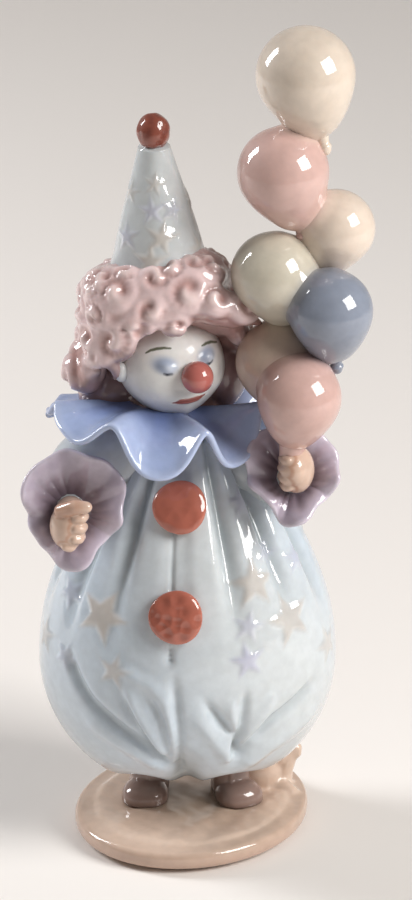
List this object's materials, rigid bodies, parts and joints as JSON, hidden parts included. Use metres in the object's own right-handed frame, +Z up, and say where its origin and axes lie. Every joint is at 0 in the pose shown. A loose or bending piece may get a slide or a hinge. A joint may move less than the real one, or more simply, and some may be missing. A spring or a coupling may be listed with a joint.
{
  "type": "clown figurine",
  "caption": "Glazed porcelain clown in a pointed hat, ruffled collar and round pleated suit, holding a column of balloons on an oval base.",
  "frame": {"origin": "middle of the oval base's underside, where the figurine stands", "axes": "+Z up, -Y the way the clown's body faces, +X towards the column of balloons, which the clown holds in its left hand"},
  "size_m": [0.0686, 0.0531, 0.17],
  "materials": {
    "suit_glaze": "gloss",
    "collar_glaze": "gloss",
    "cuff_glaze": "gloss",
    "hair_glaze": "gloss",
    "face_glaze": "gloss",
    "nose_glaze": "gloss",
    "skin_glaze": "gloss",
    "button_glaze": "gloss",
    "shoe_glaze": "gloss",
    "base_glaze": "gloss",
    "cream_balloon_glaze": "gloss",
    "pink_balloon_glaze": "gloss",
    "beige_balloon_glaze": "gloss",
    "blue_balloon_glaze": "gloss"
  },
  "bodies": {
    "root": {"clown_figurine": "suit_glaze"}
  },
  "joints": []
}
